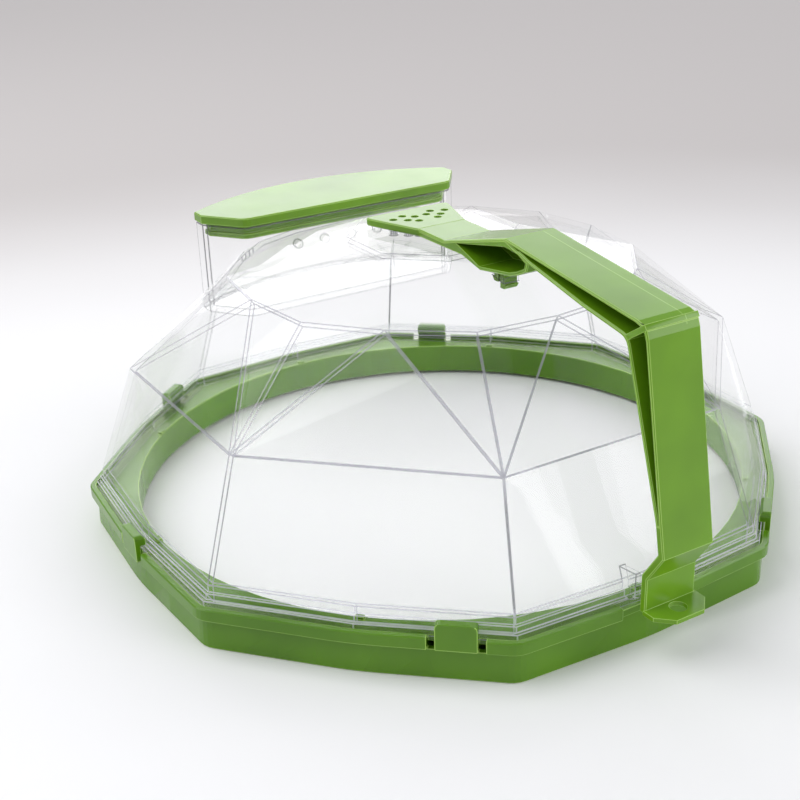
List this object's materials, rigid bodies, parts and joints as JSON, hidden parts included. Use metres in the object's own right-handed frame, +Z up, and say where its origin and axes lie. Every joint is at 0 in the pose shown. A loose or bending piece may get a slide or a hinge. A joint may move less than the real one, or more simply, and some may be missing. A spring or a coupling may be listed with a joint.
{
  "type": "microwave splatter cover",
  "caption": "Clear faceted dome on an eight-sided base ring with snap tabs, a lidded water tank let into the back and a carrying handle with vent holes.",
  "frame": {"origin": "on the surface that the ring stands on, under the middle of the whole cover's box, which is 7.3 mm towards the handle's foot from the middle of the ring", "axes": "+Z up, handle's foot towards -Y, water tank towards +Y, X across the handle"},
  "size_m": [0.2518, 0.2658, 0.1161],
  "materials": {
    "green_plastic": "satin moulded",
    "clear_plastic": "clear polished"
  },
  "bodies": {
    "ring": {"base_ring": "green_plastic"},
    "dome": {"dome": "clear_plastic", "water_tank": "clear_plastic"},
    "tank_lid": {"tank_lid": "green_plastic"},
    "handle": {"handle": "green_plastic"},
    "snap_tab_front_left": {"snap_tab_front_left": "green_plastic"},
    "snap_tab_front_right": {"snap_tab_front_right": "green_plastic"},
    "snap_tab_right": {"snap_tab_right": "green_plastic"},
    "snap_tab_back_right": {"snap_tab_back_right": "green_plastic"},
    "snap_tab_back_left": {"snap_tab_back_left": "green_plastic"},
    "snap_tab_left": {"snap_tab_left": "green_plastic"}
  },
  "joints": [
    {"name": "dome_lift", "type": "slide", "parent": "ring", "child": "dome", "axis": [0, 0, 1], "range_m": [0, 0.06]},
    {"name": "handle_lift", "type": "slide", "parent": "dome", "child": "handle", "axis": [0, 0, 1], "range_m": [0, 0.1]},
    {"name": "tank_lid_lift", "type": "slide", "parent": "dome", "child": "tank_lid", "axis": [0, 0, 1], "range_m": [0, 0.06]},
    {"name": "tab_flex_front_left", "type": "hinge", "parent": "ring", "child": "snap_tab_front_left", "pos_m": [-0.06449, -0.1021, 0.0116], "axis": [0.7502, -0.6612, 0], "range_deg": [0, 13], "stiffness_Nm_per_rad": 0.6},
    {"name": "tab_flex_front_right", "type": "hinge", "parent": "ring", "child": "snap_tab_front_right", "pos_m": [0.06449, -0.1021, 0.0116], "axis": [0.7502, 0.6612, 0], "range_deg": [0, 13], "stiffness_Nm_per_rad": 0.6},
    {"name": "tab_flex_right", "type": "hinge", "parent": "ring", "child": "snap_tab_right", "pos_m": [0.12495, 0.00729, 0.0116], "axis": [0, 1, 0], "range_deg": [0, 13], "stiffness_Nm_per_rad": 0.6},
    {"name": "tab_flex_back_right", "type": "hinge", "parent": "ring", "child": "snap_tab_back_right", "pos_m": [0.06653, 0.11489, 0.0116], "axis": [-0.7502, 0.6612, 0], "range_deg": [0, 13], "stiffness_Nm_per_rad": 0.6},
    {"name": "tab_flex_back_left", "type": "hinge", "parent": "ring", "child": "snap_tab_back_left", "pos_m": [-0.06653, 0.11489, 0.0116], "axis": [-0.7502, -0.6612, 0], "range_deg": [0, 13], "stiffness_Nm_per_rad": 0.6},
    {"name": "tab_flex_left", "type": "hinge", "parent": "ring", "child": "snap_tab_left", "pos_m": [-0.12495, 0.00729, 0.0116], "axis": [0, -1, 0], "range_deg": [0, 13], "stiffness_Nm_per_rad": 0.6}
  ]
}
